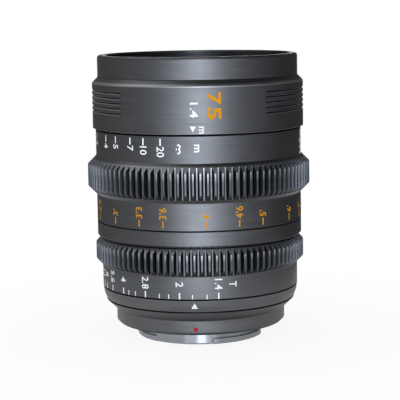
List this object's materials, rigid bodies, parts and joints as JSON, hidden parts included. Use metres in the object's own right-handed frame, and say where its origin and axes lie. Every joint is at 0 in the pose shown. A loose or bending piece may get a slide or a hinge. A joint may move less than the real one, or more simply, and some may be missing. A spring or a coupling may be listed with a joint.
{
  "type": "cinema prime lens",
  "caption": "Fast cinema prime lens with geared focus and iris rings, a moving focus group, working iris blades and a bayonet mount.",
  "frame": {"origin": "middle of the bayonet's rear end, on the optical axis", "axes": "+Z along the optical axis towards the front of the lens, -Y towards the index marks"},
  "size_m": [0.08, 0.08, 0.1016],
  "materials": {
    "barrel_anodised": "turned aluminium, satin gunmetal anodised, fine lines round the axis",
    "inner_black": "matt black anodised",
    "bayonet_chrome": "satin chromed brass, polished by use",
    "screw_steel": "machined steel",
    "helicoid_brass": "fine turned, greased",
    "blade_black": "blackened spring steel, dry lubricated",
    "washer_plastic": "matt black sliding plastic",
    "optical_glass": "polished, anti-reflection coated",
    "mark_white": "white paint in engraved marks",
    "mark_orange": "orange paint in engraved marks",
    "mark_red": "red paint in an engraved mark"
  },
  "bodies": {
    "barrel": {"bayonet_mount": "bayonet_chrome", "mount_screws": "screw_steel", "barrel_screws": "screw_steel", "mount_base": "barrel_anodised", "iris_index_ring": "barrel_anodised", "middle_barrel": "barrel_anodised", "front_barrel": "barrel_anodised", "front_rim": "barrel_anodised", "rear_tube": "inner_black", "beauty_ring": "inner_black", "front_cell": "inner_black", "second_lens_lock_ring": "inner_black", "iris_housing": "inner_black", "iris_lock_ring": "inner_black", "rear_cell": "inner_black", "rear_baffle": "inner_black", "rear_spacer_back": "inner_black", "rear_spacer_front": "inner_black", "rear_lock_ring": "inner_black", "guide_sleeve": "helicoid_brass", "iris_washer_rear": "washer_plastic", "iris_washer_front": "washer_plastic", "focus_washer_rear": "washer_plastic", "focus_washer_front": "washer_plastic", "front_lens": "optical_glass", "second_lens": "optical_glass", "rear_lens_back": "optical_glass", "rear_lens_middle": "optical_glass", "rear_lens_front": "optical_glass"},
    "focus_ring": {"focus_ring": "barrel_anodised", "focus_cam_sleeve": "helicoid_brass", "cam_screws": "screw_steel"},
    "focus_cell": {"focus_cell": "inner_black", "follower_pins": "screw_steel", "focus_lens_front": "optical_glass", "focus_lens_rear": "optical_glass", "focus_lock_ring": "inner_black"},
    "iris_ring": {"iris_ring": "barrel_anodised", "iris_cam_ring": "inner_black", "iris_drive_pin": "screw_steel"},
    "iris_blade_01": {"iris_blade_01": "blade_black"},
    "iris_blade_02": {"iris_blade_02": "blade_black"},
    "iris_blade_03": {"iris_blade_03": "blade_black"},
    "iris_blade_04": {"iris_blade_04": "blade_black"},
    "iris_blade_05": {"iris_blade_05": "blade_black"},
    "iris_blade_06": {"iris_blade_06": "blade_black"},
    "iris_blade_07": {"iris_blade_07": "blade_black"},
    "iris_blade_08": {"iris_blade_08": "blade_black"},
    "iris_blade_09": {"iris_blade_09": "blade_black"},
    "iris_blade_10": {"iris_blade_10": "blade_black"}
  },
  "joints": [
    {"name": "focus_turn", "type": "hinge", "parent": "barrel", "child": "focus_ring", "pos_m": [0, 0, 0.05883], "axis": [0, 0, 1], "range_deg": [0, 280]},
    {"name": "focus_cell_slide", "type": "slide", "parent": "barrel", "child": "focus_cell", "axis": [0, 0, 1], "range_m": [0, 0.0084]},
    {"name": "iris_turn", "type": "hinge", "parent": "barrel", "child": "iris_ring", "pos_m": [0, 0, 0.02745], "axis": [0, 0, 1], "range_deg": [-13.9, 81]},
    {"name": "iris_blade_01_swing", "type": "hinge", "parent": "barrel", "child": "iris_blade_01", "pos_m": [0, -0.0292, 0.02973], "axis": [0, 0, 1], "range_deg": [-4.4, 25.61]},
    {"name": "iris_blade_02_swing", "type": "hinge", "parent": "barrel", "child": "iris_blade_02", "pos_m": [0.01716, -0.02362, 0.02973], "axis": [0, 0, 1], "range_deg": [-4.4, 25.61]},
    {"name": "iris_blade_03_swing", "type": "hinge", "parent": "barrel", "child": "iris_blade_03", "pos_m": [0.02777, -0.00902, 0.02973], "axis": [0, 0, 1], "range_deg": [-4.4, 25.61]},
    {"name": "iris_blade_04_swing", "type": "hinge", "parent": "barrel", "child": "iris_blade_04", "pos_m": [0.02777, 0.00902, 0.02973], "axis": [0, 0, 1], "range_deg": [-4.4, 25.61]},
    {"name": "iris_blade_05_swing", "type": "hinge", "parent": "barrel", "child": "iris_blade_05", "pos_m": [0.01716, 0.02362, 0.02973], "axis": [0, 0, 1], "range_deg": [-4.4, 25.61]},
    {"name": "iris_blade_06_swing", "type": "hinge", "parent": "barrel", "child": "iris_blade_06", "pos_m": [0, 0.0292, 0.02973], "axis": [0, 0, 1], "range_deg": [-4.4, 25.61]},
    {"name": "iris_blade_07_swing", "type": "hinge", "parent": "barrel", "child": "iris_blade_07", "pos_m": [-0.01716, 0.02362, 0.02973], "axis": [0, 0, 1], "range_deg": [-4.4, 25.61]},
    {"name": "iris_blade_08_swing", "type": "hinge", "parent": "barrel", "child": "iris_blade_08", "pos_m": [-0.02777, 0.00902, 0.02973], "axis": [0, 0, 1], "range_deg": [-4.4, 25.61]},
    {"name": "iris_blade_09_swing", "type": "hinge", "parent": "barrel", "child": "iris_blade_09", "pos_m": [-0.02777, -0.00902, 0.02973], "axis": [0, 0, 1], "range_deg": [-4.4, 25.61]},
    {"name": "iris_blade_10_swing", "type": "hinge", "parent": "barrel", "child": "iris_blade_10", "pos_m": [-0.01716, -0.02362, 0.02973], "axis": [0, 0, 1], "range_deg": [-4.4, 25.61]}
  ],
  "couplings": [
    {"joint": "focus_cell_slide", "follows": "focus_turn", "m_per_rad": 0.0017189},
    {"joint": "iris_blade_01_swing", "follows": "iris_turn", "ratio": 0.31612},
    {"joint": "iris_blade_02_swing", "follows": "iris_turn", "ratio": 0.31612},
    {"joint": "iris_blade_03_swing", "follows": "iris_turn", "ratio": 0.31612},
    {"joint": "iris_blade_04_swing", "follows": "iris_turn", "ratio": 0.31612},
    {"joint": "iris_blade_05_swing", "follows": "iris_turn", "ratio": 0.31612},
    {"joint": "iris_blade_06_swing", "follows": "iris_turn", "ratio": 0.31612},
    {"joint": "iris_blade_07_swing", "follows": "iris_turn", "ratio": 0.31612},
    {"joint": "iris_blade_08_swing", "follows": "iris_turn", "ratio": 0.31612},
    {"joint": "iris_blade_09_swing", "follows": "iris_turn", "ratio": 0.31612},
    {"joint": "iris_blade_10_swing", "follows": "iris_turn", "ratio": 0.31612}
  ]
}
